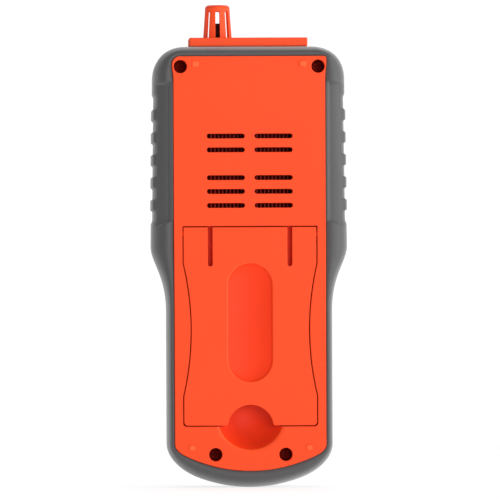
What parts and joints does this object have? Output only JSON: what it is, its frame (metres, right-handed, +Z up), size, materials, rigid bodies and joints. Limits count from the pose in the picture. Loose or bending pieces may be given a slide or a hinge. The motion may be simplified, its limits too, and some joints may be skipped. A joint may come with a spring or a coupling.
{
  "type": "handheld air quality meter",
  "caption": "Upright handheld air quality meter in a two-part case with a rubber boot, slotted sensor guard on top, vented back and fold-out tilt stand.",
  "frame": {"origin": "at the lowest point of the rounded foot, under the middle of the upright meter as a hand holds it", "axes": "+Z up the meter from the rounded foot to the sensor guard, +X across the width, +Y out of the back, where the tilt stand is, so the display faces -Y"},
  "size_m": [0.0784, 0.038, 0.1933],
  "materials": {
    "orange_plastic": "satin moulded, very fine texture",
    "front_plastic": "satin moulded, fine texture",
    "boot_rubber": "matte soft-touch",
    "black_plastic": "matte",
    "circuit_board": "satin solder mask",
    "screw_steel": "black zinc plated",
    "screw_lacquer": "dark red lacquer",
    "battery_can": "gloss sleeve",
    "display_panel": "satin",
    "lens_plastic": "polished",
    "keypad_rubber": "matte",
    "key_plastic": "satin",
    "power_key_plastic": "satin",
    "sensor_can": "satin stamped sheet, also for the battery contacts"
  },
  "bodies": {
    "case": {"rear_case": "orange_plastic", "front_case": "front_plastic", "rubber_boot": "boot_rubber", "top_cap": "orange_plastic", "sensor_cage": "orange_plastic", "humidity_sensor": "black_plastic", "sensor_board": "circuit_board", "case_screw_1": "screw_lacquer", "case_screw_2": "screw_lacquer", "case_screw_3": "screw_lacquer", "case_screw_4": "screw_lacquer", "battery_door": "orange_plastic", "battery_door_screw": "screw_steel", "battery_tray": "black_plastic", "battery_1": "battery_can", "battery_2": "battery_can", "battery_3": "battery_can", "battery_4": "battery_can", "battery_contact_lower": "sensor_can", "battery_contact_upper": "sensor_can", "main_board": "circuit_board", "board_screw_1": "screw_steel", "board_screw_2": "screw_steel", "board_screw_3": "screw_steel", "board_screw_4": "screw_steel", "display_module": "display_panel", "display_lens": "lens_plastic", "keypad_mat": "keypad_rubber", "vent_baffle": "orange_plastic", "particle_sensor": "sensor_can", "buzzer": "black_plastic", "processor": "black_plastic"},
    "stand": {"tilt_stand": "orange_plastic"},
    "fan": {"fan_rotor": "black_plastic"},
    "mode_key": {"mode_button": "key_plastic"},
    "hold_key": {"hold_button": "key_plastic"},
    "up_key": {"up_button": "key_plastic"},
    "down_key": {"down_button": "key_plastic"},
    "power_key": {"power_button": "power_key_plastic"}
  },
  "joints": [
    {"name": "stand_hinge", "type": "hinge", "parent": "case", "child": "stand", "pos_m": [0, 0.0169, 0.1012], "axis": [1, 0, 0], "range_deg": [0, 42]},
    {"name": "fan_spin", "type": "hinge", "parent": "case", "child": "fan", "pos_m": [0.009, 0.006, 0.127], "axis": [0, 1, 0], "continuous": true},
    {"name": "mode_press", "type": "slide", "parent": "case", "child": "mode_key", "axis": [0, 1, 0], "range_m": [0, 0.0008], "stiffness_N_per_m": 1200},
    {"name": "hold_press", "type": "slide", "parent": "case", "child": "hold_key", "axis": [0, 1, 0], "range_m": [0, 0.0008], "stiffness_N_per_m": 1200},
    {"name": "up_press", "type": "slide", "parent": "case", "child": "up_key", "axis": [0, 1, 0], "range_m": [0, 0.0008], "stiffness_N_per_m": 1200},
    {"name": "down_press", "type": "slide", "parent": "case", "child": "down_key", "axis": [0, 1, 0], "range_m": [0, 0.0008], "stiffness_N_per_m": 1200},
    {"name": "power_press", "type": "slide", "parent": "case", "child": "power_key", "axis": [0, 1, 0], "range_m": [0, 0.0008], "stiffness_N_per_m": 1200}
  ]
}
